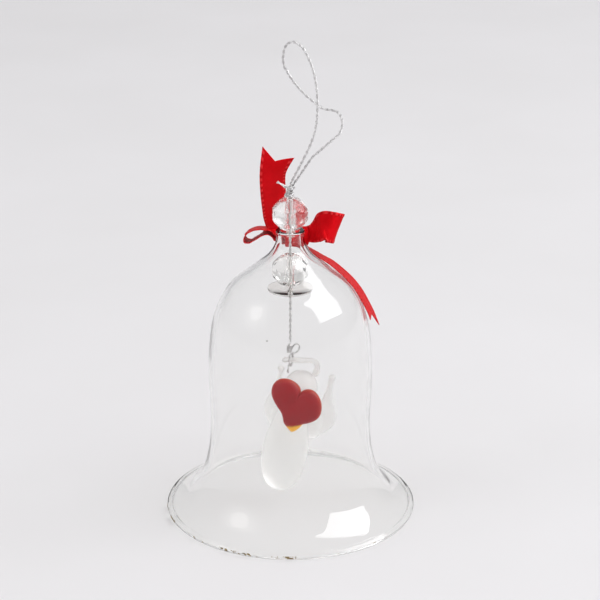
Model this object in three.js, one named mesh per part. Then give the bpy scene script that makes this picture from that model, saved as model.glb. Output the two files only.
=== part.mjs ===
import * as THREE from 'three';
import { mergeVertices } from 'three/addons/utils/BufferGeometryUtils.js';

// Christmas bell ornament: a blown clear glass bell standing on its flared rim, with a faceted bead on
// the neck, a hanging loop of twisted silver thread, a satin bow behind the neck, and inside it a second
// bead, a clear disc and a frosted glass angel with a red heart hanging as the clapper.
// Millimetres, +Z up, origin at the middle of the rim circle on the table, front towards -Y.

// glass bell
const RIM_R = 35.0;
const RIM_ROLL_R = 0.9;
const RIM_FLAT = 0.7;
const GLASS_H = 83.0;
const WALL = 1.2;
const NECK_BORE_R = 2.6;
const LIP_R = 3.95;
const LIP_ROUND = 0.3;
const BELL_SIDES = 48;

// beads, disc and thread
const BEAD_R = 5.0;
const BEAD_BORE_R = 0.85;
const BEAD_SIDES = 10;
const TOP_BEAD_Z = 87.6;
const INNER_BEAD_Z = 71.2;
const DISC_R = 6.2;
const DISC_T = 0.5;
const DISC_Z = 65.7;
const THREAD_R = 0.4;
const FINE_THREAD_R = 0.25;
const CUT_END_R = 0.3;
const TAIL_R = 0.45;
const LOOP_STEPS = 72;
const GAP = 0.3;

// knots
const TOP_KNOT_Z0 = 92.8;
const TOP_KNOT_Z1 = 95.9;
const STOP_KNOT_Z0 = 63.4;
const STOP_KNOT_Z1 = 65.15;
const LOWER_KNOT_Z0 = 46.75;
const LOWER_KNOT_Z1 = 49.6;
const TOP_KNOT_R = 1.6;
const SMALL_KNOT_R = 0.95;

// angel, hung from the thread by the bent-down end of its glass hook
const HANG_Z = 44.5;
const ANGEL_LEAN = THREE.MathUtils.degToRad(10);
const ANGEL_TURN = THREE.MathUtils.degToRad(-14);
const ANGEL_AXIS_X = 4.3;
const HEAD_R = 4.7;
const HEAD_Z = -7.4;
const HANGER_ROD_R = 0.75;
const ROBE_TOP = -12.5;
const ROBE_BOTTOM = -39.6;
const ROBE_DEPTH = 0.84;
const ROBE_X = -1.0;
const WING_T = 1.7;
const WING_BACK_Y = 3.4;
const WING_SWEEP = 0.026;
const WING_LEFT_DROP = 2.6;
const WING_RIGHT_DROP = 1.3;
const WING_LEFT_END_X = 7.2;
const WING_RIGHT_END_X = 5.6;
const HEART_T = 4.4;
const HEART_X = 0.65;
const HEART_Y = -7.4;
const HEART_Z = -10.2;

// satin ribbon
const RIBBON_W = 8.0;
const RIBBON_T = 0.3;
const BOW_Y = 7.4;
const BOW_KNOT_Z = 78.4;
const CUT_LENGTH = 6.0;

// Finishes
const finish = (color, roughness, metalness, opacity = 1) =>
  new THREE.MeshStandardMaterial({ color, roughness, metalness, opacity, transparent: opacity < 1 });
const CLEAR_GLASS = finish(0xf4f6f6, 0.03, 0, 0.25);
const BEAD_GLASS = finish(0xf2efec, 0.05, 0, 0.4);
const DISC_GLASS = finish(0xd8d5d0, 0.05, 0, 0.5);
const SILVER_THREAD = finish(0xb8b8b4, 0.35, 0.8);
const FROSTED_GLASS = finish(0xe9e9e7, 0.6, 0, 0.75);
const RED_GLASS = finish(0x93131c, 0.4, 0);
const RED_SATIN = finish(0xc2101b, 0.4, 0);
const CLEAR_GLUE = finish(0xe8e2d4, 0.3, 0);

const v2 = (x, y) => new THREE.Vector2(x, y);
const v3 = (x, y, z) => new THREE.Vector3(x, y, z);

// Merge shared corners, turn the faces outward, and make the named piece.
function solid(name, material, source) {
  const bare = new THREE.BufferGeometry();
  bare.setAttribute('position', source.getAttribute('position').clone());
  if (source.index) {
    bare.setIndex(source.index.clone());
  }
  const geometry = mergeVertices(bare, 1e-4);
  const p = geometry.getAttribute('position');
  const kept = [];
  let volume = 0;
  const a = v3(0, 0, 0);
  const b = v3(0, 0, 0);
  const c = v3(0, 0, 0);
  for (let i = 0; i < geometry.index.count; i += 3) {
    const ia = geometry.index.getX(i);
    const ib = geometry.index.getX(i + 1);
    const ic = geometry.index.getX(i + 2);
    if (ia === ib || ib === ic || ia === ic) {
      continue;
    }
    kept.push([ia, ib, ic]);
    a.fromBufferAttribute(p, ia);
    b.fromBufferAttribute(p, ib);
    c.fromBufferAttribute(p, ic);
    volume += a.dot(b.clone().cross(c)) / 6;
  }
  const order = kept.map((t) => (volume < 0 ? [t[0], t[2], t[1]] : t));
  geometry.setIndex(order.flat());
  const mesh = new THREE.Mesh(geometry, material);
  mesh.name = name;
  return mesh;
}

// Turn a profile of (radius, height) points about the Z axis.
function turned(profile, sides) {
  const g = new THREE.LatheGeometry(profile, sides);
  g.rotateX(Math.PI / 2);
  return g;
}

// Skin a row of closed rings, each with the same number of points, and cap both ends.
function skinned(rings, flatEnds = false) {
  const n = rings[0].length;
  const points = rings.flat();
  const index = [];
  for (let s = 0; s + 1 < rings.length; s += 1) {
    for (let k = 0; k < n; k += 1) {
      const a = s * n + k;
      const b = s * n + ((k + 1) % n);
      index.push(a, b, b + n);
      index.push(a, b + n, a + n);
    }
  }
  for (const s of [0, rings.length - 1]) {
    if (flatEnds) {
      for (let k = 0; k + 1 < n / 2; k += 1) {
        const a = s * n + k;
        const b = s * n + n - 1 - k;
        const turn = s === 0 ? [a, b, b - 1, a, b - 1, a + 1] : [a, b - 1, b, a, a + 1, b - 1];
        index.push(...turn);
      }
      continue;
    }
    const centre = v3(0, 0, 0);
    for (const q of rings[s]) {
      centre.addScaledVector(q, 1 / n);
    }
    points.push(centre);
    const c = points.length - 1;
    for (let k = 0; k < n; k += 1) {
      const a = s * n + k;
      const b = s * n + ((k + 1) % n);
      if (s === 0) {
        index.push(c, b, a);
      } else {
        index.push(c, a, b);
      }
    }
  }
  const g = new THREE.BufferGeometry();
  g.setFromPoints(points);
  g.setIndex(index);
  return g;
}

// One oval ring about a centre, spanned by a half width and a half thickness.
function ovalRing(centre, across, through, n) {
  const ring = [];
  for (let k = 0; k < n; k += 1) {
    const t = (2 * Math.PI * k) / n;
    const q = centre.clone();
    q.addScaledVector(across, Math.cos(t));
    q.addScaledVector(through, Math.sin(t));
    ring.push(q);
  }
  return ring;
}

// Round thread or rod of one radius along a smooth route.
function threadAlong(route, radius, steps, sides) {
  const ring = [];
  for (let k = 0; k < sides; k += 1) {
    const t = (2 * Math.PI * k) / sides;
    ring.push(v2(radius * Math.cos(t), radius * Math.sin(t)));
  }
  const shape = new THREE.Shape(ring);
  const path = new THREE.CatmullRomCurve3(route, false, 'centripetal');
  return new THREE.ExtrudeGeometry(shape, { steps, extrudePath: path, curveSegments: 1 });
}

// Outer line of the glass from the flared rim up to the neck.
function bellOutline() {
  const through = [
    v2(33.7, 1.65), v2(28.7, 5.0), v2(24.3, 12.2), v2(22.35, 24.0), v2(22.8, 42.0), v2(21.5, 56.3),
    v2(17.5, 65.5), v2(11.4, 71.1), v2(6.3, 75.5), v2(4.1, 79.2), v2(3.85, 82.3),
  ];
  return new THREE.SplineCurve(through);
}

function bellGlass() {
  const outline = bellOutline();
  const outer = [];
  const inner = [];
  const steps = 24;
  for (let i = 0; i <= steps; i += 1) {
    const p = outline.getPoint(i / steps);
    const d = outline.getTangent(i / steps);
    outer.push(p);
    inner.push(v2(Math.max(p.x - WALL * d.y, NECK_BORE_R), p.y + WALL * d.x));
  }
  const profile = [];
  const rollR = RIM_R - RIM_ROLL_R;
  profile.push(v2(rollR - RIM_FLAT / 2, 0));
  profile.push(v2(rollR + RIM_FLAT / 2, 0));
  for (const deg of [-40, -10, 20, 50]) {
    const t = THREE.MathUtils.degToRad(deg);
    profile.push(v2(rollR + RIM_ROLL_R * Math.cos(t), RIM_ROLL_R * (1 + Math.sin(t))));
  }
  for (const p of outer) {
    profile.push(p);
  }
  profile.push(v2(LIP_R, GLASS_H - LIP_ROUND));
  profile.push(v2(LIP_R - LIP_ROUND, GLASS_H));
  profile.push(v2(NECK_BORE_R + LIP_ROUND, GLASS_H));
  profile.push(v2(NECK_BORE_R, GLASS_H - LIP_ROUND));
  for (const p of inner.reverse()) {
    if (p.y < GLASS_H - 3 * LIP_ROUND) {
      profile.push(p);
    }
  }
  profile.push(v2(rollR - RIM_ROLL_R * 0.75, RIM_ROLL_R * 0.35));
  profile.push(profile[0].clone());
  return solid('bell_glass', CLEAR_GLASS, turned(profile, BELL_SIDES));
}

// Cut bead: rings of corners, each turned half a facet from the next, around a straight bore.
function facetedBead(name, z) {
  const rows = [
    [BEAD_BORE_R, BEAD_R * 0.975], [BEAD_R * 0.42, BEAD_R * 0.9], [BEAD_R * 0.82, BEAD_R * 0.55],
    [BEAD_R, BEAD_R * 0.0], [BEAD_R * 0.82, -BEAD_R * 0.55], [BEAD_R * 0.42, -BEAD_R * 0.9],
    [BEAD_BORE_R, -BEAD_R * 0.975],
  ];
  const points = [];
  const index = [];
  const n = BEAD_SIDES;
  rows.forEach(([r, h], row) => {
    for (let k = 0; k < n; k += 1) {
      const t = (2 * Math.PI * (k + (row % 2) / 2)) / n;
      points.push(v3(r * Math.cos(t), r * Math.sin(t), h));
    }
  });
  for (let row = 0; row + 1 < rows.length; row += 1) {
    for (let k = 0; k < n; k += 1) {
      const a = row * n + k;
      const b = row * n + ((k + 1) % n);
      const c = a + n;
      const d = b + n;
      if (row % 2 === 0) {
        index.push(a, c, b, b, c, d);
      } else {
        index.push(a, c, d, a, d, b);
      }
    }
  }
  const last = (rows.length - 1) * n;
  for (let k = 0; k < n; k += 1) {
    const a = k;
    const b = (k + 1) % n;
    index.push(a, b, last + b, a, last + b, last + a);
  }
  const g = new THREE.BufferGeometry();
  g.setFromPoints(points);
  g.setIndex(index);
  const bead = solid(name, BEAD_GLASS, g);
  bead.position.z = z;
  return bead;
}

function stopDisc() {
  const hole = THREAD_R + GAP;
  const e = 0.12;
  const h = DISC_T / 2;
  const profile = [
    v2(hole, -h), v2(DISC_R - e, -h), v2(DISC_R, -h + e), v2(DISC_R, h - e), v2(DISC_R - e, h), v2(hole, h),
    v2(hole, -h),
  ];
  const disc = solid('stop_disc', DISC_GLASS, turned(profile, 40));
  disc.position.z = DISC_Z;
  return disc;
}

// Straight upright piece of thread.
function uprightThread(name, z0, z1) {
  const g = new THREE.CylinderGeometry(THREAD_R, THREAD_R, z1 - z0, 10, 6);
  g.rotateX(Math.PI / 2);
  const thread = solid(name, SILVER_THREAD, g);
  thread.position.z = (z0 + z1) / 2;
  return thread;
}

// A pulled-tight knot: a barrel of wrapped turns, lobed and twisted round its own axis.
function wrappedKnot(name, x, lean, z0, z1, radius, lobes, twist) {
  const rings = [];
  const rows = 9;
  const n = 18;
  for (let i = 0; i <= rows; i += 1) {
    const s = i / rows;
    const barrel = radius * Math.sqrt(Math.max(0.1, Math.sin(Math.PI * (0.06 + 0.88 * s))));
    const ring = [];
    for (let k = 0; k < n; k += 1) {
      const t = (2 * Math.PI * k) / n;
      const r = barrel * (1 + 0.1 * Math.cos(lobes * t + twist * s));
      ring.push(v3(x + lean * (s - 0.5) + r * Math.cos(t), r * Math.sin(t), z0 + s * (z1 - z0)));
    }
    rings.push(ring);
  }
  return solid(name, SILVER_THREAD, skinned(rings));
}

function knotTail() {
  const route = [v3(-1.65, -0.2, 95.6), v3(-2.4, -0.35, 96.3), v3(-3.5, -0.5, 96.9)];
  return solid('knot_tail', SILVER_THREAD, threadAlong(route, TAIL_R, 4, 8));
}

// Hanging loop: up the front strand, over the top, down behind it, out to the right and back to the knot.
function loopRoute() {
  return [
    v3(0.3, -0.3, 96.6), v3(1.8, 0.0, 99.5), v3(3.2, 0.2, 102.3), v3(4.9, 0.5, 105.7),
    v3(6.9, 1.2, 111.4), v3(7.4, 2.4, 119.1), v3(6.7, 4.4, 124.9), v3(4.9, 6.5, 129.8),
    v3(2.9, 8.0, 132.6), v3(1.1, 8.8, 133.4), v3(-0.6, 9.4, 132.8), v3(-1.6, 10.1, 130.6),
    v3(-1.8, 10.9, 126.8), v3(-0.6, 11.4, 124.0), v3(2.2, 11.8, 119.8), v3(5.1, 11.3, 117.0),
    v3(7.6, 10.5, 115.2), v3(9.4, 9.6, 114.3), v3(11.3, 8.6, 114.4), v3(13.0, 7.3, 114.1),
    v3(13.95, 5.8, 113.0), v3(14.15, 4.4, 111.4), v3(13.4, 3.2, 109.5), v3(10.2, 1.7, 107.0),
    v3(8.0, 1.3, 105.1), v3(5.9, 1.0, 103.2), v3(2.9, 0.8, 98.7), v3(1.45, 0.6, 96.6),
  ];
}

function hangingLoop() {
  return solid('hanging_loop', SILVER_THREAD, threadAlong(loopRoute(), THREAD_R, LOOP_STEPS, 8));
}

// Thread ring round the glass rod of the hanger, with the tied side loop and the cut end.
function threadEye() {
  const g = new THREE.TorusGeometry(HANGER_ROD_R + GAP + THREAD_R + 0.15, THREAD_R, 8, 20);
  g.rotateY(Math.PI / 2);
  const eye = solid('thread_eye', SILVER_THREAD, g);
  eye.rotation.z = ANGEL_TURN;
  eye.position.set(0.2, -0.05, HANG_Z);
  return eye;
}

function knotSideLoop() {
  const route = [
    v3(1.3, 0, 48.3), v3(1.55, 0.1, 49.2), v3(2.3, 0.2, 49.0), v3(2.5, 0.2, 48.0), v3(1.9, 0.1, 46.9),
    v3(1.2, 0.0, 46.6),
  ];
  return solid('knot_side_loop', SILVER_THREAD, threadAlong(route, FINE_THREAD_R, 14, 8));
}

function threadEnd() {
  const route = [v3(-0.5, -2.25, 43.6), v3(-0.6, -2.4, 42.6), v3(-0.65, -2.4, 41.6)];
  return solid('thread_end', SILVER_THREAD, threadAlong(route, CUT_END_R, 4, 8));
}

function angelHanger() {
  const route = [
    v3(-5.9, -1.15, -1.0), v3(-5.75, -1.12, -0.35), v3(-5.1, -1.08, 0.0), v3(-3.9, -1.04, 0.1),
    v3(0, -1.0, 0.95), v3(2.2, -0.9, 1.35), v3(3.3, -0.8, 0.75), v3(3.6, -0.5, -1.2),
    v3(3.1, -0.3, -2.8),
  ];
  return solid('angel_hanger', FROSTED_GLASS, threadAlong(route, HANGER_ROD_R, 28, 10));
}

function angelHead() {
  const g = new THREE.SphereGeometry(HEAD_R, 24, 14);
  g.rotateX(Math.PI / 2);
  const head = solid('angel_head', FROSTED_GLASS, g);
  head.position.z = HEAD_Z;
  return head;
}

// Robe: a drawn glass bulb, slim under the head, fullest near the hem, closed and rounded below.
function angelRobe() {
  const line = new THREE.SplineCurve([
    v2(0.01, ROBE_TOP), v2(2.1, -12.9), v2(3.9, -15.4), v2(5.2, -19.5), v2(6.3, -25.0), v2(6.4, -29.5),
    v2(5.7, -34.2), v2(4.2, -37.4), v2(2.2, -39.1), v2(0.01, ROBE_BOTTOM),
  ]);
  const profile = [];
  const rows = 24;
  for (let i = 0; i <= rows; i += 1) {
    profile.push(line.getPoint(i / rows));
  }
  profile[0].x = 0;
  profile[rows].x = 0;
  const g = turned(profile, 28);
  g.scale(1, ROBE_DEPTH, 1);
  const robe = solid('angel_robe', FROSTED_GLASS, g);
  robe.position.x = ROBE_X;
  return robe;
}

// Wing: a swept-back blade with a slim raised tip, mirrored for the other side. It rounds in below.
function angelWing(name, side, drop, endX) {
  const outer = new THREE.SplineCurve([
    v2(8.0, -2.4), v2(8.2, -3.3), v2(8.1, -5.4), v2(8.6, -9.6), v2(10.4, -14.6), v2(9.8, -18.6),
    v2(endX + 0.6, -22.1),
  ]);
  const innerEdge = new THREE.SplineCurve([
    v2(6.9, -2.4), v2(6.5, -3.3), v2(6.6, -5.4), v2(6.0, -9.0), v2(4.9, -13.4), v2(5.6, -18.0),
    v2(endX, -22.2),
  ]);
  const rings = [];
  const rows = 22;
  for (let i = 0; i <= rows; i += 1) {
    const s = i / rows;
    const o = outer.getPoint(s);
    const n = innerEdge.getPoint(s);
    const mid = (o.x + n.x) / 2;
    const half = (o.x - n.x) / 2;
    const sweep = (x) => WING_BACK_Y + WING_SWEEP * x * x;
    const centre = v3(side * mid, sweep(mid), (o.y + n.y) / 2 - drop);
    const across = v3(side * half, sweep(mid + half) - sweep(mid), (o.y - n.y) / 2);
    const thin = Math.min(WING_T / 2, Math.max(0.2, half * 0.95));
    rings.push(ovalRing(centre, across, v3(0, thin, 0), 12));
  }
  return solid(name, FROSTED_GLASS, skinned(rings));
}

// Pressed glass heart, hand-made and a little lopsided, with its point down.
function heartOutline() {
  const s = new THREE.Shape();
  s.moveTo(0.8, 4.2);
  s.bezierCurveTo(0.8, 5.8, -1.2, 7.2, -3.4, 7.2);
  s.bezierCurveTo(-5.9, 7.2, -7.5, 5.2, -7.3, 2.8);
  s.bezierCurveTo(-7.1, 0.6, -5.2, -1.0, -3.7, -2.6);
  s.bezierCurveTo(-2.5, -3.8, -2.7, -5.4, -1.7, -6.2);
  s.bezierCurveTo(-0.9, -6.9, -0.2, -7.6, 0.5, -7.8);
  s.bezierCurveTo(1.4, -7.4, 2.3, -6.4, 3.0, -5.0);
  s.bezierCurveTo(4.3, -4.5, 6.5, -3.9, 7.3, -1.6);
  s.bezierCurveTo(8.0, 1.6, 6.4, 5.4, 3.8, 5.8);
  s.bezierCurveTo(2.4, 5.9, 1.3, 5.3, 0.8, 4.2);
  return s;
}

// The heart is pillowed: its outline shrinks towards the middle of each face as the glass thickens.
function heart() {
  const corners = 44;
  const outline = heartOutline().getSpacedPoints(corners).slice(0, corners);
  const rings = [];
  const rows = 10;
  for (let i = 0; i <= rows; i += 1) {
    const t = Math.PI * (i / rows - 0.5) * 0.96;
    const reach = Math.pow(Math.cos(t), 0.55);
    const depth = (HEART_T / 2) * Math.sin(t);
    rings.push(outline.map((q) => v3(q.x * reach, depth, q.y * reach)));
  }
  const piece = solid('heart', RED_GLASS, skinned(rings));
  piece.position.set(HEART_X, HEART_Y, HEART_Z);
  return piece;
}

// Ribbon along a route of centres, each with the direction of its width and a share of the full width.
// The last argument says how far each of its three far corners runs past the end, for a swallow-tail cut.
function ribbonAlong(route, widths, steps, ends = [0, 0, 0]) {
  const centres = new THREE.CatmullRomCurve3(route.map((r) => r[0]), false, 'centripetal');
  const across = new THREE.CatmullRomCurve3(route.map((r) => r[1]), false, 'centripetal');
  const scale = new THREE.SplineCurve(widths.map((w, i) => v2(i / (widths.length - 1), w)));
  const cutFrom = 1 - CUT_LENGTH / centres.getLength();
  const rings = [];
  for (let i = 0; i <= steps; i += 1) {
    const s = i / steps;
    const c = centres.getPoint(s);
    const t = centres.getTangent(s);
    const w = across.getPoint(s).normalize();
    w.addScaledVector(t, -w.dot(t)).normalize();
    const n = t.clone().cross(w).normalize();
    const half = (RIBBON_W / 2) * scale.getPoint(s).y;
    const run = THREE.MathUtils.clamp((s - cutFrom) / (1 - cutFrom), 0, 1);
    const ring = [];
    for (const [u, side] of [[-1, 1], [0, 1], [1, 1], [1, -1], [0, -1], [-1, -1]]) {
      const q = c.clone().addScaledVector(w, u * half).addScaledVector(n, (side * RIBBON_T) / 2);
      ring.push(q.addScaledVector(t, ends[u + 1] * run));
    }
    rings.push(ring);
  }
  return skinned(rings, true);
}

// The angel is modelled about its own upright axis, turned a little, and leans as it hangs.
function angel() {
  const figure = new THREE.Group();
  figure.add(angelHanger());
  figure.add(angelHead());
  figure.add(angelRobe());
  figure.add(angelWing('angel_wing_left', -1, WING_LEFT_DROP, WING_LEFT_END_X));
  figure.add(angelWing('angel_wing_right', 1, WING_RIGHT_DROP, WING_RIGHT_END_X));
  figure.add(heart());
  figure.rotation.z = ANGEL_TURN;
  figure.position.x = ANGEL_AXIS_X;
  const hung = new THREE.Group();
  hung.add(figure);
  hung.rotation.y = ANGEL_LEAN;
  hung.position.z = HANG_Z;
  return hung;
}

function ribbonKnot() {
  const rings = [];
  for (const [x, h, d] of [[-2.1, 1.9, 1.2], [-1.5, 2.7, 1.9], [0.2, 2.5, 2.1], [2.4, 2.7, 2.1],
    [4.6, 2.8, 1.9], [5.2, 2.0, 1.2]]) {
    rings.push(ovalRing(v3(x, BOW_Y, BOW_KNOT_Z), v3(0, d, 0), v3(0, 0, h), 14));
  }
  return solid('ribbon_knot', RED_SATIN, skinned(rings));
}

function bowLoopLeft() {
  const w = v3(0.05, 0.95, -0.28);
  const route = [
    [v3(-3.15, 7.4, 79.3), v3(0, 0.4, 0.9)], [v3(-4.2, 7.2, 80.2), v3(0, 0.8, 0.3)],
    [v3(-6.6, 6.6, 81.0), w], [v3(-9.6, 6.4, 81.0), w], [v3(-11.9, 6.4, 79.7), w],
    [v3(-12.4, 6.4, 78.1), w], [v3(-11.2, 6.4, 77.3), w], [v3(-9.4, 6.4, 78.2), w],
    [v3(-7.2, 6.6, 79.6), w], [v3(-5.0, 7.3, 79.3), v3(0, 0.8, 0.3)],
    [v3(-3.15, 7.7, 77.9), v3(0, 0.4, 0.9)],
  ];
  const widths = [0.42, 0.6, 0.9, 1.0, 1.0, 1.0, 1.0, 1.0, 0.9, 0.6, 0.42];
  return solid('bow_loop_left', RED_SATIN, ribbonAlong(route, widths, 40));
}

function bowLoopRight() {
  const w = v3(0.37, 0.28, 0.88);
  const pinched = v3(0.15, 0.12, 0.97);
  const route = [
    [v3(6.0, 6.5, 79.4), pinched], [v3(7.4, 5.5, 80.6), v3(0.3, 0.25, 0.92)], [v3(9.2, 5.0, 82.0), w],
    [v3(11.2, 4.9, 81.9), w], [v3(12.9, 5.6, 81.3), w], [v3(13.3, 6.6, 81.0), w],
    [v3(12.0, 7.8, 80.8), w], [v3(9.6, 8.6, 80.2), w], [v3(7.4, 8.6, 79.4), pinched],
    [v3(6.0, 8.2, 79.1), pinched],
  ];
  const widths = [0.6, 0.85, 1.06, 1.08, 1.08, 1.06, 1.0, 0.85, 0.6, 0.52];
  return solid('bow_loop_right', RED_SATIN, ribbonAlong(route, widths, 40));
}

function ribbonTailLeft() {
  const route = [
    [v3(-3.4, 8.0, 83.0), v3(0.85, 0.5, 0.0)], [v3(-3.9, 7.5, 84.6), v3(0.84, 0.54, 0.0)],
    [v3(-4.3, 6.9, 88.0), v3(0.84, 0.54, 0.0)], [v3(-4.7, 6.5, 92.5), v3(0.85, 0.53, 0.0)],
    [v3(-4.7, 6.7, 97.4), v3(0.88, 0.46, 0.0)], [v3(-3.5, 8.0, 103.3), v3(0.97, 0.2, -0.02)],
  ];
  const widths = [0.8, 0.95, 1.0, 1.0, 1.0, 1.04];
  return solid('ribbon_tail_left', RED_SATIN, ribbonAlong(route, widths, 26, [0.1, -3.2, -1.4]));
}

function ribbonTailRight() {
  const w = v3(0.13, 0.92, -0.37);
  const route = [
    [v3(4.7, 7.4, 75.1), v3(-0.3, 0.9, -0.1)], [v3(7.6, 6.8, 73.2), w], [v3(11.2, 6.3, 71.1), w],
    [v3(14.0, 5.9, 68.9), w], [v3(16.8, 5.3, 66.3), w], [v3(19.1, 4.6, 63.4), w],
    [v3(20.9, 3.9, 60.3), w], [v3(22.5, 3.0, 57.2), w], [v3(23.5, 2.0, 54.7), v3(0.18, 0.9, -0.36)],
  ];
  const widths = [0.55, 0.8, 1.0, 1.0, 1.0, 1.0, 1.0, 1.0, 1.0];
  return solid('ribbon_tail_right', RED_SATIN, ribbonAlong(route, widths, 30, [-1.3, -2.8, 1.0]));
}

function glueDab() {
  const g = new THREE.SphereGeometry(1, 16, 10);
  g.scale(1.6, 0.35, 1.3);
  const dab = solid('glue_dab', CLEAR_GLUE, g);
  dab.position.set(0.2, 4.72, 80.4);
  return dab;
}

function build() {
  const ornament = new THREE.Group();
  ornament.add(bellGlass());
  ornament.add(facetedBead('top_bead', TOP_BEAD_Z));
  ornament.add(facetedBead('inner_bead', INNER_BEAD_Z));
  ornament.add(stopDisc());
  ornament.add(uprightThread('thread_core', STOP_KNOT_Z1 + GAP, TOP_KNOT_Z0 - GAP));
  ornament.add(wrappedKnot('top_knot', -0.1, 1.4, TOP_KNOT_Z0, TOP_KNOT_Z1, TOP_KNOT_R, 3, 3.2));
  ornament.add(knotTail());
  ornament.add(hangingLoop());
  ornament.add(wrappedKnot('stop_knot', 0, 0, STOP_KNOT_Z0, STOP_KNOT_Z1, SMALL_KNOT_R, 3, 2.4));
  ornament.add(uprightThread('hanging_thread', LOWER_KNOT_Z1 + GAP, STOP_KNOT_Z0 - GAP));
  ornament.add(wrappedKnot('lower_knot', -0.2, 0.2, LOWER_KNOT_Z0, LOWER_KNOT_Z1, SMALL_KNOT_R, 3, 3.4));
  ornament.add(threadEye());
  ornament.add(knotSideLoop());
  ornament.add(threadEnd());
  ornament.add(angel());
  ornament.add(ribbonKnot());
  ornament.add(bowLoopLeft());
  ornament.add(bowLoopRight());
  ornament.add(ribbonTailLeft());
  ornament.add(ribbonTailRight());
  ornament.add(glueDab());
  return ornament;
}

export default build();
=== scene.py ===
# Christmas bell ornament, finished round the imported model: clear blown glass, cut beads, two-ply silver
# thread, a satin bow and a frosted glass angel with a red heart. Metres, +Z up, front towards -Y.
import math

import bmesh
import bpy
from mathutils import Matrix, Vector, noise


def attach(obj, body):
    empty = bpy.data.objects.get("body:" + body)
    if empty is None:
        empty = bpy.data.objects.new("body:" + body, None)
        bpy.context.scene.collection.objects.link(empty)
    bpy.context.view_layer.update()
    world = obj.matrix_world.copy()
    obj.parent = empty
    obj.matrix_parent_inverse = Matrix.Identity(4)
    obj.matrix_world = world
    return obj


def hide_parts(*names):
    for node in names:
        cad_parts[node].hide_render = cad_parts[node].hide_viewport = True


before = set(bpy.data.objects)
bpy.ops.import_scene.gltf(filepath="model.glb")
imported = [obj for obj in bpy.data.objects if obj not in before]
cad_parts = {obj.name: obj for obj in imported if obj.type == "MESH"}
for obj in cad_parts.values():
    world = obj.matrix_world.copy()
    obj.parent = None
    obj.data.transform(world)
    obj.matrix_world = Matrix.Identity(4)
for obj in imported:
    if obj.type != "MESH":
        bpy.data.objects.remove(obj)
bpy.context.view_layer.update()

MM = 0.001
TURN = 2 * math.pi


def mm(x, y, z):
    """A place in the ornament's frame, given in millimetres."""
    return Vector((x, y, z)) * MM


# ---------------------------------------------------------------- camera, light and floor

CAMERA_AT = (0.002694, -0.645707, 0.318533)
CAMERA_TILT = math.radians(68.361)
CAMERA_LENS = 151.24
SENSOR_WIDTH = 36.0
BELL_MIDDLE = Vector((0, 0, 0.045))

# Each lamp's azimuth, elevation and roll in degrees. Azimuth 0 is in front, 90 to the right.
WINDOW_FROM = (82, 45, -16)
WINDOW_DISTANCE = 1.3
WINDOW_SIZE = (1.08, 1.0)
WINDOW_WATTS = 9.0
GLINT_WATTS = 13.0
WINDOW_WHITE = (0.99, 0.99, 1.0)
LEFT_FROM = (-68, 36, 0)
LEFT_DISTANCE = 1.4
LEFT_WIDTHS_AND_WATTS = ((1.3, 1.6), (0.9, 1.4), (0.5, 1.2))
LEFT_WHITE = (1.0, 0.985, 0.96)
ROOM_DARK = (0.44, 0.43, 0.425, 1)
ROOM_LIGHT = (0.66, 0.66, 0.675, 1)
ROOM_SLANT = 0.6


def set_camera():
    data = bpy.data.cameras.new("camera")
    data.sensor_width = SENSOR_WIDTH
    data.lens = CAMERA_LENS
    data.clip_start = 0.01
    data.clip_end = 50
    camera = bpy.data.objects.new("camera", data)
    camera.location = CAMERA_AT
    camera.rotation_euler = (CAMERA_TILT, 0, 0)
    bpy.context.scene.collection.objects.link(camera)
    bpy.context.scene.camera = camera


def softbox(name, seen_from, distance, size, watts, colour, shape="RECTANGLE"):
    """A panel of light facing the bell."""
    data = bpy.data.lights.new(name, "AREA")
    data.shape = shape
    data.size, data.size_y = size
    data.energy = watts
    data.color = colour
    lamp = bpy.data.objects.new(name, data)
    a, e, roll = (math.radians(angle) for angle in seen_from)
    away = Vector((math.sin(a) * math.cos(e), -math.cos(a) * math.cos(e), math.sin(e)))
    lamp.location = BELL_MIDDLE + away * distance
    facing = away.to_track_quat("Z", "Y").to_matrix()
    lamp.rotation_euler = (facing @ Matrix.Rotation(roll, 3, "Z")).to_euler()
    bpy.context.scene.collection.objects.link(lamp)
    return lamp


def light_studio():
    softbox("window_softbox", WINDOW_FROM, WINDOW_DISTANCE, WINDOW_SIZE, WINDOW_WATTS, WINDOW_WHITE)
    behind = WINDOW_DISTANCE + 0.01
    glint = softbox("window_glint", WINDOW_FROM, behind, WINDOW_SIZE, GLINT_WATTS, WINDOW_WHITE)
    glint.visible_diffuse = False
    for width, watts in LEFT_WIDTHS_AND_WATTS:
        distance = LEFT_DISTANCE + 0.05 * width
        softbox(f"left_softbox_{width}", LEFT_FROM, distance, (width, width), watts, LEFT_WHITE, "ELLIPSE")
    world = bpy.data.worlds.new("studio")
    bpy.context.scene.world = world
    world.use_nodes = True
    tree = world.node_tree
    back = tree.nodes["Background"]
    coords = tree.nodes.new("ShaderNodeTexCoord")
    split = tree.nodes.new("ShaderNodeSeparateXYZ")
    tree.links.new(coords.outputs["Generated"], split.inputs[0])
    lift = tree.nodes.new("ShaderNodeMath")
    lift.operation = "MULTIPLY_ADD"
    tree.links.new(split.outputs["Y"], lift.inputs[0])
    lift.inputs[1].default_value = ROOM_SLANT
    tree.links.new(split.outputs["Z"], lift.inputs[2])
    span = tree.nodes.new("ShaderNodeMapRange")
    span.inputs["From Min"].default_value = -ROOM_SLANT
    span.inputs["From Max"].default_value = 1.0
    tree.links.new(lift.outputs[0], span.inputs["Value"])
    ramp = tree.nodes.new("ShaderNodeValToRGB")
    ramp.color_ramp.elements[0].color = ROOM_DARK
    ramp.color_ramp.elements[1].color = ROOM_LIGHT
    tree.links.new(span.outputs["Result"], ramp.inputs["Fac"])
    tree.links.new(ramp.outputs["Color"], back.inputs["Color"])


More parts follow.
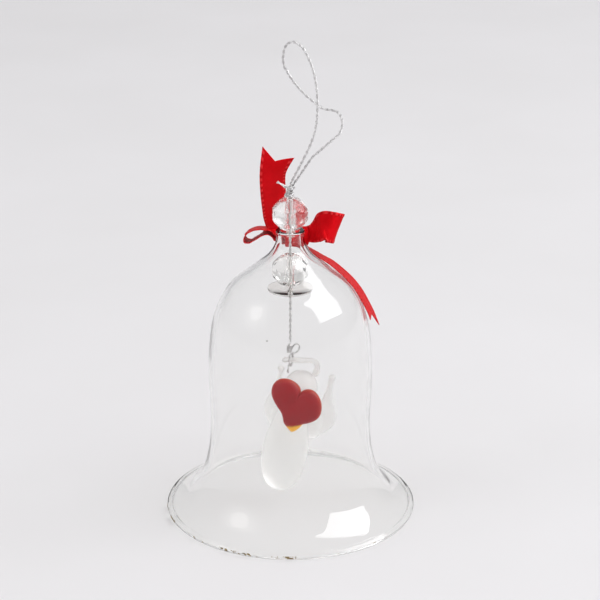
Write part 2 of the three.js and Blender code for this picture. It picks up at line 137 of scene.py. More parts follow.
# ---------------------------------------------------------------- shared shader effects


def effect(name, inputs, outputs):
    """An empty node group with named inputs, given as (name, default), and outputs."""
    tree = bpy.data.node_groups.new(name, "ShaderNodeTree")
    for label, value in inputs:
        kind = "NodeSocketVector" if value is None else "NodeSocketFloat"
        socket = tree.interface.new_socket(label, in_out="INPUT", socket_type=kind)
        if value is not None:
            socket.default_value = value
    for label in outputs:
        tree.interface.new_socket(label, in_out="OUTPUT", socket_type="NodeSocketFloat")
    start = tree.nodes.new("NodeGroupInput")
    end = tree.nodes.new("NodeGroupOutput")
    return tree, start, end


def arithmetic(tree, operation, *values):
    """A math node whose inputs are sockets or numbers."""
    node = tree.nodes.new("ShaderNodeMath")
    node.operation = operation
    for slot, value in zip(node.inputs, values):
        if isinstance(value, (int, float)):
            slot.default_value = value
        else:
            tree.links.new(value, slot)
    return node.outputs[0]


def noise_in(tree, place, scale, detail=3.0, roughness=0.55):
    node = tree.nodes.new("ShaderNodeTexNoise")
    node.inputs["Detail"].default_value = detail
    node.inputs["Roughness"].default_value = roughness
    tree.links.new(place, node.inputs["Vector"])
    if isinstance(scale, (int, float)):
        node.inputs["Scale"].default_value = scale
    else:
        tree.links.new(scale, node.inputs["Scale"])
    return node.outputs["Fac"]


def variation_effect():
    """Soft uneven patches, from Low to High."""
    tree, start, end = effect(
        "uneven_patches", [("Place", None), ("Scale", 100.0), ("Low", 0.0), ("High", 1.0)], ["Value"]
    )
    patches = noise_in(tree, start.outputs["Place"], start.outputs["Scale"])
    span = tree.nodes.new("ShaderNodeMapRange")
    span.inputs["From Min"].default_value = 0.3
    span.inputs["From Max"].default_value = 0.7
    tree.links.new(patches, span.inputs["Value"])
    tree.links.new(start.outputs["Low"], span.inputs["To Min"])
    tree.links.new(start.outputs["High"], span.inputs["To Max"])
    tree.links.new(span.outputs["Result"], end.inputs["Value"])
    return tree


def specks_effect():
    """Small scattered specks of dust or flaws: 1 on a speck, 0 off it."""
    tree, start, end = effect(
        "scattered_specks", [("Place", None), ("Scale", 60.0), ("Size", 0.05), ("Share", 0.2)], ["Mask"]
    )
    cells = tree.nodes.new("ShaderNodeTexVoronoi")
    tree.links.new(start.outputs["Place"], cells.inputs["Vector"])
    tree.links.new(start.outputs["Scale"], cells.inputs["Scale"])
    near = arithmetic(tree, "LESS_THAN", cells.outputs["Distance"], start.outputs["Size"])
    split = tree.nodes.new("ShaderNodeSeparateColor")
    tree.links.new(cells.outputs["Color"], split.inputs[0])
    chosen = arithmetic(tree, "LESS_THAN", split.outputs[0], start.outputs["Share"])
    tree.links.new(arithmetic(tree, "MULTIPLY", near, chosen), end.inputs["Mask"])
    return tree


def fibres_effect():
    """Fine parallel fibres on a piece's own map, slanted as the yarn is spun: height 0 to 1."""
    tree, start, end = effect("parallel_fibres", [("Map", None), ("Count", 8.0), ("Slant", 0.0)], ["Height"])
    split = tree.nodes.new("ShaderNodeSeparateXYZ")
    tree.links.new(start.outputs["Map"], split.inputs[0])
    slanted = arithmetic(tree, "MULTIPLY", split.outputs["Y"], start.outputs["Slant"])
    side_by_side = arithmetic(tree, "MULTIPLY", split.outputs["X"], start.outputs["Count"])
    across = arithmetic(tree, "ADD", side_by_side, slanted)
    wave = arithmetic(tree, "SINE", arithmetic(tree, "MULTIPLY", across, TURN))
    tree.links.new(arithmetic(tree, "MULTIPLY_ADD", wave, 0.5, 0.5), end.inputs["Height"])
    return tree


PATCHES = variation_effect()
SPECKS = specks_effect()
FIBRES = fibres_effect()


class Finish:
    """One material being put together: its Principled shader, and short ways to add nodes."""

    def __init__(self, name, **constants):
        self.material = bpy.data.materials.new(name)
        self.material.use_nodes = True
        self.tree = self.material.node_tree
        self.shader = self.tree.nodes["Principled BSDF"]
        for socket, value in constants.items():
            self.shader.inputs[socket.replace("_", " ")].default_value = value
        self.place = self.tree.nodes.new("ShaderNodeTexCoord").outputs["Object"]

    def own_map(self):
        node = self.tree.nodes.new("ShaderNodeUVMap")
        node.uv_map = "lay"
        return node.outputs["UV"]

    def add(self, tree, output, **values):
        """Places a shared effect with this material's own values."""
        node = self.tree.nodes.new("ShaderNodeGroup")
        node.node_tree = tree
        for socket, value in values.items():
            if isinstance(value, (int, float)):
                node.inputs[socket].default_value = value
            else:
                self.tree.links.new(value, node.inputs[socket])
        return node.outputs[output]

    def patches(self, scale, low=0.0, high=1.0):
        """Soft uneven patches over the piece, from low to high."""
        return self.add(PATCHES, "Value", Place=self.place, Scale=scale, Low=low, High=high)

    def math(self, operation, *values):
        return arithmetic(self.tree, operation, *values)

    def blend(self, mask, first, second):
        """Colour that goes from first to second as mask goes from 0 to 1."""
        node = self.tree.nodes.new("ShaderNodeMix")
        node.data_type = "RGBA"
        self.tree.links.new(mask, node.inputs["Factor"])
        for slot, colour in ((node.inputs[6], first), (node.inputs[7], second)):
            if isinstance(colour, tuple):
                slot.default_value = (*colour, 1.0)
            else:
                self.tree.links.new(colour, slot)
        return node.outputs[2]

    def feed(self, socket, value):
        self.tree.links.new(value, self.shader.inputs[socket])

    def bump(self, height, distance, strength=1.0):
        node = self.tree.nodes.new("ShaderNodeBump")
        node.inputs["Distance"].default_value = distance
        node.inputs["Strength"].default_value = strength
        self.tree.links.new(height, node.inputs["Height"])
        self.tree.links.new(node.outputs["Normal"], self.shader.inputs["Normal"])

    def clear_shadow(self, tint):
        """Lets light through to what is behind the glass."""
        nodes, links = self.tree.nodes, self.tree.links
        clear = nodes.new("ShaderNodeBsdfTransparent")
        clear.inputs["Color"].default_value = (*tint, 1.0)
        path = nodes.new("ShaderNodeLightPath")
        surface = self.shader.outputs[0]
        for ray in ("Is Diffuse Ray", "Is Shadow Ray"):
            either = nodes.new("ShaderNodeMixShader")
            links.new(path.outputs[ray], either.inputs["Fac"])
            links.new(surface, either.inputs[1])
            links.new(clear.outputs[0], either.inputs[2])
            surface = either.outputs[0]
        links.new(surface, nodes["Material Output"].inputs["Surface"])


# ---------------------------------------------------------------- materials

SELVEDGE_FROM = 0.405


def blown_glass():
    f = Finish("clear_blown_glass", IOR=1.46, Transmission_Weight=1.0)
    f.shader.inputs["Specular Tint"].default_value = (0.5, 0.5, 0.5, 1.0)
    dust = f.add(SPECKS, "Mask", Place=f.place, Scale=120.0, Size=0.035, Share=0.16)
    f.feed("Base Color", f.blend(dust, (0.985, 0.987, 0.982), (0.25, 0.23, 0.2)))
    f.feed("Roughness", f.patches(45.0, 0.0, 0.03))
    ripple = noise_in(f.tree, f.place, 60.0, 1.0)
    f.bump(ripple, 0.0003, 0.25)
    f.clear_shadow((0.975, 0.977, 0.97))
    return f.material


def cut_glass(name, smooth, rough):
    """Glass of a cut bead, between its smooth and its rough patches."""
    f = Finish(name, IOR=1.47, Transmission_Weight=1.0, Specular_IOR_Level=0.4)
    flaws = f.add(SPECKS, "Mask", Place=f.place, Scale=900.0, Size=0.12, Share=0.04)
    f.feed("Base Color", f.blend(flaws, (0.975, 0.968, 0.955), (0.7, 0.66, 0.6)))
    f.feed("Roughness", f.patches(400.0, smooth, rough))
    f.clear_shadow((0.93, 0.925, 0.915))
    return f.material


def disc_glass():
    f = Finish("polished_disc_glass", IOR=1.22, Transmission_Weight=1.0, Specular_IOR_Level=0.9)
    cloud = f.patches(250.0)
    f.feed("Base Color", f.blend(cloud, (0.86, 0.835, 0.81), (0.93, 0.915, 0.9)))
    f.feed("Roughness", f.patches(600.0, 0.01, 0.08))
    f.clear_shadow((0.9, 0.89, 0.875))
    return f.material


def frosted_glass():
    f = Finish("frosted_glass", IOR=1.42, Transmission_Weight=0.7, Specular_IOR_Level=0.2)
    f.shader.inputs["Subsurface Weight"].default_value = 0.3
    f.shader.inputs["Subsurface Radius"].default_value = (0.004, 0.004, 0.004)
    f.shader.inputs["Subsurface Scale"].default_value = 1.0
    cloud = f.patches(180.0)
    f.feed("Base Color", f.blend(cloud, (0.99, 0.985, 0.975), (1.0, 1.0, 0.995)))
    f.feed("Roughness", f.patches(500.0, 0.5, 0.66))
    f.bump(noise_in(f.tree, f.place, 6000.0, 2.0), 0.00002, 0.5)
    f.clear_shadow((0.92, 0.915, 0.91))
    return f.material


def heart_glass():
    f = Finish("red_heart_glass", IOR=1.5, Subsurface_Weight=0.08, Specular_IOR_Level=0.2)
    f.shader.inputs["Subsurface Radius"].default_value = (0.002, 0.0004, 0.0003)
    f.shader.inputs["Subsurface Scale"].default_value = 1.0
    edge = f.tree.nodes.new("ShaderNodeAttribute")
    edge.attribute_name = "rim"
    tip = f.tree.nodes.new("ShaderNodeAttribute")
    tip.attribute_name = "tip"
    cloud = f.patches(700.0)
    body = f.blend(cloud, (0.31, 0.002, 0.006), (0.39, 0.004, 0.010))
    # Painted edge glow: a lighter, warmer red towards the heart's rim, from the rim attribute.
    painted_edge_glow = f.blend(edge.outputs["Fac"], body, (0.46, 0.05, 0.025))
    f.feed("Base Color", f.blend(tip.outputs["Fac"], painted_edge_glow, (0.98, 0.5, 0.04)))
    f.feed("Roughness", f.patches(900.0, 0.34, 0.5))
    f.bump(noise_in(f.tree, f.place, 2500.0, 2.0), 0.00004, 0.4)
    return f.material


def metallic_thread():
    f = Finish("silver_two_ply_thread", Metallic=0.3, Specular_IOR_Level=0.6)
    fibre = f.add(FIBRES, "Height", Map=f.own_map(), Count=7.0, Slant=0.9)
    shade = f.patches(1300.0)
    # Painted highlight on the fibres' tops and painted shade in the grooves between them, blended by fibre
    # height.
    lit_fibre_tops = f.blend(shade, (0.84, 0.83, 0.83), (1.0, 1.0, 1.0))
    shaded_fibre_grooves = f.blend(shade, (0.42, 0.41, 0.415), (0.86, 0.85, 0.855))
    f.feed("Base Color", f.blend(fibre, shaded_fibre_grooves, lit_fibre_tops))
    f.feed("Roughness", f.patches(2200.0, 0.2, 0.4))
    f.bump(fibre, 0.00004, 0.8)
    return f.material


def satin():
    """Twill face with painted shade in the weave's grooves, and a stitched edge from SELVEDGE_FROM of the
    width off the middle, painted darker as shade with a painted highlight on each stitch.
    """
    f = Finish("red_satin_ribbon", Metallic=0.3, Specular_IOR_Level=0.12)
    f.shader.inputs["Specular Tint"].default_value = (1.0, 0.12, 0.12, 1.0)
    lay = f.own_map()
    split = f.tree.nodes.new("ShaderNodeSeparateXYZ")
    f.tree.links.new(lay, split.inputs[0])
    off_middle = f.math("ABSOLUTE", f.math("SUBTRACT", split.outputs["X"], 0.5))
    selvedge = f.math("GREATER_THAN", off_middle, SELVEDGE_FROM)
    warp = f.add(FIBRES, "Height", Map=lay, Count=64.0, Slant=0.0)
    twill = f.add(FIBRES, "Height", Map=lay, Count=22.0, Slant=3.2)
    ribs = f.add(FIBRES, "Height", Map=lay, Count=0.0, Slant=0.9)
    weave = f.math("MULTIPLY_ADD", twill, 0.35, f.math("MULTIPLY", warp, 0.65))
    height = f.math("MULTIPLY_ADD", f.math("MULTIPLY", selvedge, ribs), 1.6, weave)
    cloud = f.patches(260.0)
    face = f.blend(cloud, (0.66, 0.004, 0.008), (0.80, 0.006, 0.013))
    # The stitched edge: painted shade between the stitches and a painted highlight on the top of each
    # stitch.
    selvedge_painted_shade_and_highlight = f.blend(ribs, (0.52, 0.003, 0.007), (0.86, 0.045, 0.05))
    # Painted shade in the weave's grooves, used where the weave is low.
    groove_painted_shade = f.blend(cloud, (0.56, 0.003, 0.006), (0.70, 0.005, 0.010))
    woven = f.blend(weave, groove_painted_shade, face)
    f.feed("Base Color", f.blend(selvedge, woven, selvedge_painted_shade_and_highlight))
    f.feed("Roughness", f.math("MULTIPLY_ADD", weave, -0.12, 0.46))
    f.bump(height, 0.00006, 0.6)
    return f.material


def hot_glue():
    f = Finish("clear_hot_glue", IOR=1.48, Transmission_Weight=0.6)
    cloud = f.patches(900.0)
    f.feed("Base Color", f.blend(cloud, (0.9, 0.87, 0.8), (0.97, 0.95, 0.92)))
    f.feed("Roughness", f.patches(1500.0, 0.15, 0.4))
    f.clear_shadow((0.85, 0.83, 0.8))
    return f.material


def worn_gilding():
    """Gilding rubbed off in flakes, with most of it left at the front and the left."""
    f = Finish("worn_gilding", Metallic=0.7, Specular_IOR_Level=0.5)
    split = f.tree.nodes.new("ShaderNodeSeparateXYZ")
    f.tree.links.new(f.place, split.inputs[0])
    left = f.math("MULTIPLY", split.outputs["X"], -3.4)
    front = f.math("MULTIPLY", split.outputs["Y"], -2.8)
    front_left = f.math("ADD", left, front)
    flakes = noise_in(f.tree, f.place, 620.0, 5.0, 0.7)
    rubbed = noise_in(f.tree, f.place, 95.0, 2.0)
    kept = f.math("ADD", f.math("MULTIPLY_ADD", flakes, 0.8, f.math("MULTIPLY", rubbed, 0.7)), front_left)
    f.feed("Alpha", f.math("GREATER_THAN", kept, 0.96))
    tone = f.patches(900.0)
    f.feed("Base Color", f.blend(tone, (0.12, 0.085, 0.04), (0.45, 0.34, 0.16)))
    f.feed("Roughness", f.patches(1800.0, 0.35, 0.6))
    return f.material


def pale_floor():
    f = Finish("pale_floor", Roughness=0.75, Specular_IOR_Level=0.2)
    soft = f.patches(9.0)
    f.feed("Base Color", f.blend(soft, (0.80, 0.79, 0.795), (0.83, 0.82, 0.83)))
    return f.material


# ---------------------------------------------------------------- ways of shaping


def through(points):
    """A smooth line through the points, as a function of the share 0 to 1 of the way along it."""
    first = points[0] * 2 - points[1]
    last = points[-1] * 2 - points[-2]
    p = [first, *points, last]

    def at(s):
        spans = len(points) - 1
        k = min(int(s * spans), spans - 1)
        t = s * spans - k
        a, b, c, d = p[k : k + 4]
        ab, bc, cd = (max(math.sqrt((v - u).length), 1e-6) for u, v in ((a, b), (b, c), (c, d)))
        leave = ((b - a) / ab - (c - a) / (ab + bc) + (c - b) / bc) * bc
        arrive = ((c - b) / bc - (d - b) / (bc + cd) + (d - c) / cd) * bc
        t2, t3 = t * t, t * t * t
        from_b = b * (2 * t3 - 3 * t2 + 1) + leave * (t3 - 2 * t2 + t)
        return from_b + c * (3 * t2 - 2 * t3) + arrive * (t3 - t2)

    return at


def along(points, steps):
    at = through(points)
    return [at(i / steps) for i in range(steps + 1)]


def evenly(points, step):
    """The smooth line through the points, cut into equal steps."""
    fine = along(points, 40 * len(points))
    total = sum((b - a).length for a, b in zip(fine, fine[1:]))
    count = max(2, round(total / step))
    spacing = total / count
    out, gone = [fine[0]], 0.0
    for a, b in zip(fine, fine[1:]):
        run = (b - a).length
        while gone + run >= spacing and len(out) < count:
            a = a.lerp(b, (spacing - gone) / run)
            run = (b - a).length
            out.append(a)
            gone = 0.0
        gone += run
    out.append(fine[-1])
    return out


def frames(points):
    """A matrix at each point with Z along the line and X and Y carried on without twist."""
    out = []
    side = None
    for k, p in enumerate(points):
        ahead = (points[min(k + 1, len(points) - 1)] - points[max(k - 1, 0)]).normalized()
        if side is None:
            side = ahead.orthogonal()
        side = (side - ahead * side.dot(ahead)).normalized()
        other = ahead.cross(side)
        turn = Matrix((side, other, ahead)).transposed()
        out.append(Matrix.Translation(p) @ turn.to_4x4())
    return out


def map_lay(bm):
    """The piece's own map, from how far round and how far along each corner lies."""
    lay = bm.loops.layers.uv.new("lay")
    around = bm.verts.layers.float["around"]
    run = bm.verts.layers.float["run"]
    for face in bm.faces:
        turns = [loop.vert[around] for loop in face.loops]
        wraps = max(turns) - min(turns) > 0.5
        for loop, u in zip(face.loops, turns):
            loop[lay].uv = (u + 1.0 if wraps and u < 0.5 else u, loop.vert[run])


def tube(bm, places, radii, sides):
    """Extrudes a ring through the places, a matrix each. The run is kept in millimetres."""
    around = bm.verts.layers.float.get("around") or bm.verts.layers.float.new("around")
    run = bm.verts.layers.float.get("run") or bm.verts.layers.float.new("run")
    ring = bmesh.ops.create_circle(bm, segments=sides, radius=1.0)["verts"]
    for v in ring:
        v[around] = (math.atan2(v.co.y, v.co.x) / TURN) % 1.0

    def stand(k):
        return places[k] @ Matrix.Diagonal((radii[k], radii[k], 1.0, 1.0))

    bmesh.ops.transform(bm, matrix=stand(0), verts=ring)
    start = ring
    edges = list({e for v in ring for e in v.link_edges})
    gone = 0.0
    for k in range(1, len(places)):
        grown = bmesh.ops.extrude_edge_only(bm, edges=edges)["geom"]
        ring = [g for g in grown if isinstance(g, bmesh.types.BMVert)]
        fresh = set(ring)
        edges = [g for g in grown if isinstance(g, bmesh.types.BMEdge) and set(g.verts) <= fresh]
        bmesh.ops.transform(bm, matrix=stand(k) @ stand(k - 1).inverted(), verts=ring)
        gone += (places[k].translation - places[k - 1].translation).length / MM
        for v in ring:
            v[run] = gone
    bmesh.ops.contextual_create(bm, geom=start)
    bmesh.ops.contextual_create(bm, geom=ring)


PLY_R_SHARE = 0.52
PLY_OFF_SHARE = 0.48


def two_ply(bm, points, radius, pitch, sides=7, loose=None):
    """Two plies wound round each other. loose(s) spreads them near a cut end."""
    held = frames(points)
    spacing = (points[1] - points[0]).length
    for start in (0.0, math.pi):
        places, radii = [], []
        for k, m in enumerate(held):
            angle = start + TURN * k * spacing / pitch
            spread = loose(k / (len(held) - 1)) if loose else 1.0
            off = Vector((math.cos(angle), math.sin(angle), 0)) * radius * PLY_OFF_SHARE * spread
            places.append(m @ Matrix.Translation(off) @ Matrix.Rotation(angle, 4, "Z"))
            radii.append(radius * PLY_R_SHARE)
        tube(bm, places, radii, sides)


def spun(bm, profile, steps):
    """Turns a closed or axis-to-axis profile of (radius, height) round the Z axis."""
    row = [bm.verts.new((r, 0, z)) for r, z in profile]
    line = [bm.edges.new(pair) for pair in zip(row, row[1:])]
    if profile[0][0] > 0:
        line.append(bm.edges.new((row[-1], row[0])))
    bmesh.ops.spin(
        bm,
        geom=row + line,
        cent=(0, 0, 0),
        axis=(0, 0, 1),
        dvec=(0, 0, 0),
        angle=TURN,
        steps=steps,
        use_merge=True,
    )
    bmesh.ops.remove_doubles(bm, verts=bm.verts, dist=1e-6)
    bmesh.ops.recalc_face_normals(bm, faces=bm.faces)


def arc(x, z, radius, first, last, steps):
    """Points on an arc in a profile, angles in degrees from the outward direction."""
    turns = [math.radians(first + (last - first) * i / steps) for i in range(steps + 1)]
    return [(x + radius * math.cos(t), z + radius * math.sin(t)) for t in turns]


def smoothstep(x, low, high):
    t = min(max((x - low) / (high - low), 0.0), 1.0)
    return t * t * (3 - 2 * t)


def piece(bm, name, material, body, slot, *nodes, sharp=None):
    """Makes the object, lets it ride on its body and stand for its CAD nodes."""
    bmesh.ops.recalc_face_normals(bm, faces=bm.faces)
    mesh = bpy.data.meshes.new(name)
    bm.to_mesh(mesh)
    bm.free()
    for face in mesh.polygons:
        face.use_smooth = True
    if sharp is not None:
        mesh.set_sharp_from_angle(angle=math.radians(sharp))
    mesh.materials.append(material)
    obj = bpy.data.objects.new(name, mesh)
    bpy.context.scene.collection.objects.link(obj)
    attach(obj, body)
    if nodes:
        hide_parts(*nodes)
    return obj


# ---------------------------------------------------------------- hanging loop

THREAD_R = 0.4 * MM
PLY_PITCH = 3.4 * MM
THREAD_STEP = 0.3 * MM

LOOP_ROUTE = [
    mm(0.3, -0.3, 96.6), mm(1.8, 0.0, 99.5), mm(3.2, 0.2, 102.3), mm(4.9, 0.5, 105.7),
    mm(6.9, 1.2, 111.4), mm(7.4, 2.4, 119.1), mm(6.7, 4.4, 124.9), mm(4.9, 6.5, 129.8),
    mm(2.9, 8.0, 132.6), mm(1.1, 8.8, 133.4), mm(-0.6, 9.4, 132.8), mm(-1.6, 10.1, 130.6),
    mm(-1.8, 10.9, 126.8), mm(-0.6, 11.4, 124.0), mm(2.2, 11.8, 119.8), mm(5.1, 11.3, 117.0),
    mm(7.6, 10.5, 115.2), mm(9.4, 9.6, 114.3), mm(11.3, 8.6, 114.4), mm(13.0, 7.3, 114.1),
    mm(13.95, 5.8, 113.0), mm(14.15, 4.4, 111.4), mm(13.4, 3.2, 109.5), mm(10.2, 1.7, 107.0),
    mm(8.0, 1.3, 105.1), mm(5.9, 1.0, 103.2), mm(2.9, 0.8, 98.7), mm(1.45, 0.6, 96.6),
]


def line_length(points):
    return sum((b - a).length for a, b in zip(points, points[1:]))


def hanging_loop(thread):
    line = evenly(LOOP_ROUTE, THREAD_STEP)
    bm = bmesh.new()
    two_ply(bm, line, THREAD_R, PLY_PITCH)
    map_lay(bm)
    loop = piece(bm, "hanging_loop_thread", thread, "bell", "silver_thread", "hanging_loop")
    line_length(line)
    [tuple(p) for p in line]


# ---------------------------------------------------------------- glass bell

RIM_ROLL_AT = (34.1, 0.9)
RIM_ROLL_R = 0.9
RIM_FLAT_HALF = 0.35
GLASS_TOP = 83.0
WALL = 1.2
NECK_BORE_R = 2.6
LIP_AT_R = 3.55
LIP_OUTER_R = 0.4
LIP_INNER_R = 0.35
ROLL_INSIDE = [(33.3, 0.38), (33.5, 0.16)]
BELL_STEPS = 160
OUTLINE = [
    (33.7, 1.65), (28.7, 5.0), (24.3, 12.2), (22.35, 24.0), (22.8, 42.0), (21.5, 56.3),
    (17.5, 65.5), (11.4, 71.1), (6.3, 75.5), (4.1, 79.2), (3.85, 82.3),
]


def outline_at(s):
    """Outer line of the glass in millimetres, and its direction, at the share s of the way up."""

    def place(s):
        last = len(OUTLINE) - 1
        k = min(int(s * last), last - 1)
        t = s * last - k
        picks = [OUTLINE[min(max(i, 0), last)] for i in (k - 1, k, k + 1, k + 2)]
        out = []
        for a, b, c, d in zip(*picks):
            leave, arrive = (c - a) / 2, (d - b) / 2
            cubic, square = 2 * b - 2 * c + leave + arrive, 3 * c - 3 * b - 2 * leave - arrive
            out.append(((cubic * t + square) * t + leave) * t + b)
        return Vector(out)

    near = 1e-4
    return place(s), (place(min(s + near, 1)) - place(max(s - near, 0))).normalized()


def bell(glass):
    steps = 120
    outer, inner = [], []
    for i in range(steps + 1):
        p, d = outline_at(i / steps)
        outer.append((p.x, p.y))
        inner.append((max(p.x - WALL * d.y, NECK_BORE_R), p.y + WALL * d.x))
    cx, cz = RIM_ROLL_AT
    profile = [(cx - RIM_FLAT_HALF, 0), (cx + RIM_FLAT_HALF, 0)]
    profile += arc(cx, cz, RIM_ROLL_R, -62, 108, 14)
    profile += outer
    profile += arc(LIP_AT_R, GLASS_TOP - LIP_OUTER_R, LIP_OUTER_R, 0, 90, 5)
    profile += arc(NECK_BORE_R + LIP_INNER_R, GLASS_TOP - LIP_INNER_R, LIP_INNER_R, 90, 180, 5)
    profile += [p for p in reversed(inner) if p[1] < GLASS_TOP - 1.0]
    profile += ROLL_INSIDE
    bm = bmesh.new()
    spun(bm, [(r * MM, z * MM) for r, z in profile], BELL_STEPS)
    piece(bm, "blown_glass_bell", glass, "bell", "clear_glass", "bell_glass")


def rim_gilding(gilding):
    """What is left of a gilded line round the rim, a skin on the outside of the roll."""
    cx, cz = RIM_ROLL_AT
    skin, base = RIM_ROLL_R + 0.05, RIM_ROLL_R + 0.02
    profile = arc(cx, cz, skin, -30, 22, 8) + arc(cx, cz, base, 22, -30, 8)
    bm = bmesh.new()
    spun(bm, [(r * MM, z * MM) for r, z in profile], BELL_STEPS)
    piece(bm, "worn_rim_gilding", gilding, "bell", "clear_glass")


# ---------------------------------------------------------------- beads and disc

BEAD_R = 5.0
BEAD_BORE_R = 0.85
BEAD_FLAT = 4.55
BEAD_FACETS = 10
# Each row of facets: its tilt in degrees, its stagger in facets and its distance from the middle.
BEAD_ROWS = ((0, 0.0, 4.76), (40, 0.5, 4.72), (-40, 0.5, 4.72), (66, 0.0, 4.78), (-66, 0.0, 4.78))
TOP_BEAD_Z = 87.6
INNER_BEAD_Z = 71.2
DISC_Z = 65.7
DISC_R = 6.2
DISC_HALF = 0.25
DISC_EDGE_R = 0.1
DISC_BORE_R = 0.7


def cut_bead(name, z, glass, body, node, soften, turned):
    """A thick ring with every facet ground on by its own plane, then its edges eased."""
    bm = bmesh.new()
    big = BEAD_R * 1.2
    ring = [(BEAD_BORE_R, -BEAD_FLAT), (big, -BEAD_FLAT), (big, BEAD_FLAT), (BEAD_BORE_R, BEAD_FLAT)]
    spun(bm, ring, 20)
    for tilt, stagger, distance in BEAD_ROWS:
        for k in range(BEAD_FACETS):
            a = TURN * (k + stagger) / BEAD_FACETS
            e = math.radians(tilt)
            out = Vector((math.cos(a) * math.cos(e), math.sin(a) * math.cos(e), math.sin(e)))
            everything = bm.verts[:] + bm.edges[:] + bm.faces[:]
            cut = bmesh.ops.bisect_plane(
                bm, geom=everything, dist=1e-5, plane_co=out * distance, plane_no=out, clear_outer=True
            )
            edges = [g for g in cut["geom_cut"] if isinstance(g, bmesh.types.BMEdge)]
            bmesh.ops.contextual_create(bm, geom=edges)
    bmesh.ops.dissolve_limit(bm, angle_limit=math.radians(1), verts=bm.verts, edges=bm.edges)
    ridges = [
        e for e in bm.edges
        if len(e.link_faces) == 2
        and e.calc_face_angle(0) > math.radians(8)
        and min(math.hypot(v.co.x, v.co.y) for v in e.verts) > BEAD_BORE_R * 1.2
    ]
    bmesh.ops.bevel(
        bm,
        geom=ridges,
        offset=soften,
        segments=3,
        profile=0.5,
        affect="EDGES",
        clamp_overlap=True,
        material=-1,
    )
    stand = Matrix.Translation(mm(0, 0, z)) @ Matrix.Rotation(turned, 4, "Z") @ Matrix.Scale(MM, 4)
    bmesh.ops.transform(bm, matrix=stand, verts=bm.verts)
    piece(bm, name, glass, body, "bead_glass", node, sharp=20)


def disc(glass):
    flat_to = DISC_R - DISC_EDGE_R
    profile = [(DISC_BORE_R, -DISC_HALF), (flat_to, -DISC_HALF)]
    profile += arc(flat_to, -DISC_HALF + DISC_EDGE_R, DISC_EDGE_R, -90, 0, 4)[1:]
    profile += arc(flat_to, DISC_HALF - DISC_EDGE_R, DISC_EDGE_R, 0, 90, 4)
    profile += [(DISC_BORE_R, DISC_HALF)]
    bm = bmesh.new()
    spun(bm, [(r * MM, (DISC_Z + z) * MM) for r, z in profile], 96)
    piece(bm, "clear_stop_disc", glass, "disc", "disc_glass", "stop_disc", sharp=30)


# ---------------------------------------------------------------- threads and knots

TIGHT_PITCH = 2.2 * MM
TOP_KNOT_THREAD_R = 0.36 * MM
TAIL_THREAD_R = 0.42 * MM
STOP_KNOT_THREAD_R = 0.34 * MM
LOWER_KNOT_THREAD_R = 0.3 * MM
SIDE_LOOP_THREAD_R = 0.25 * MM
CUT_END_THREAD_R = 0.28 * MM
POINTS_A_TURN = 9
HANG_Z = 44.5
ANGEL_TURN = math.radians(-14)
EYE_R = 1.6
EYE_POINTS = 20


def thread_piece(name, thread, body, node, parts, pitch=PLY_PITCH, loose=None):
    """One piece of two-ply thread lying along several routes, given as (points, radius)."""
    bm = bmesh.new()
    for points, radius in parts:
        two_ply(bm, evenly(points, THREAD_STEP * 0.8), radius, pitch, 6, loose)
    map_lay(bm)
    piece(bm, name, thread, body, "silver_thread", node)


def wrap(centre, lean, radius, low, high, turns, start):
    """The route of thread wound round a leaning axis."""
    route = []
    count = round(turns * POINTS_A_TURN)
    for k in range(count + 1):
        s = k / count
        a = start + TURN * turns * s
        z = low + (high - low) * s
        axis = centre + lean * (z - low)
        route.append(mm(axis + radius * math.cos(a), radius * math.sin(a), z))
    return route


def upright_threads(thread):
    core = [mm(0, 0, z) for z in (65.45, 70, 76, 84, 92.5)]
    thread_piece("thread_through_beads", thread, "bell", "thread_core", [(core, THREAD_R)])
    hung = [mm(0, 0, z) for z in (49.9, 54, 58, 63.1)]
    thread_piece("clapper_thread", thread, "clapper_thread", "hanging_thread", [(hung, THREAD_R)])


def top_knot(thread):
    fine = TOP_KNOT_THREAD_R
    parts = [
        (wrap(-0.35, 0.3, 1.0, 92.6, 93.5, 2.2, 0.5), fine),
        (wrap(-0.2, 0.3, 0.62, 93.4, 94.9, 1.6, 2.4), fine),
        (wrap(0.1, 0.3, 0.92, 94.9, 95.6, 1.6, 4.0), fine),
        ([mm(-0.6, -0.55, 92.8), mm(-0.55, -0.85, 93.9), mm(0.0, -0.6, 95.0), mm(0.3, -0.3, 96.8)], fine),
        ([mm(-1.0, 0.1, 92.9), mm(-0.8, -0.3, 94.1), mm(-0.4, -0.5, 95.2), mm(-1.2, -0.25, 95.4)], fine),
        ([mm(0.4, 0.3, 92.9), mm(0.5, -0.4, 94.0), mm(0.8, 0.0, 95.2), mm(1.45, 0.6, 96.8)], fine),
    ]
    thread_piece("top_knot_windings", thread, "bell", "top_knot", parts, TIGHT_PITCH)


def knot_tail(thread):
    route = [mm(-1.2, -0.25, 95.3), mm(-1.7, -0.3, 95.75), mm(-2.5, -0.4, 96.3), mm(-3.5, -0.5, 96.9)]
    parts = [(route, TAIL_THREAD_R)]
    thread_piece("top_knot_cut_tail", thread, "bell", "knot_tail", parts, 9 * MM, lambda s: 1 + 0.45 * s)


def stop_knot(thread):
    fine = STOP_KNOT_THREAD_R
    parts = [(wrap(0, 0, 0.55, 63.7, 64.8, 3, 1.0), fine), ([mm(0, 0, 63.4), mm(0, 0, 65.1)], fine)]
    thread_piece("stop_knot_windings", thread, "bell", "stop_knot", parts, TIGHT_PITCH)


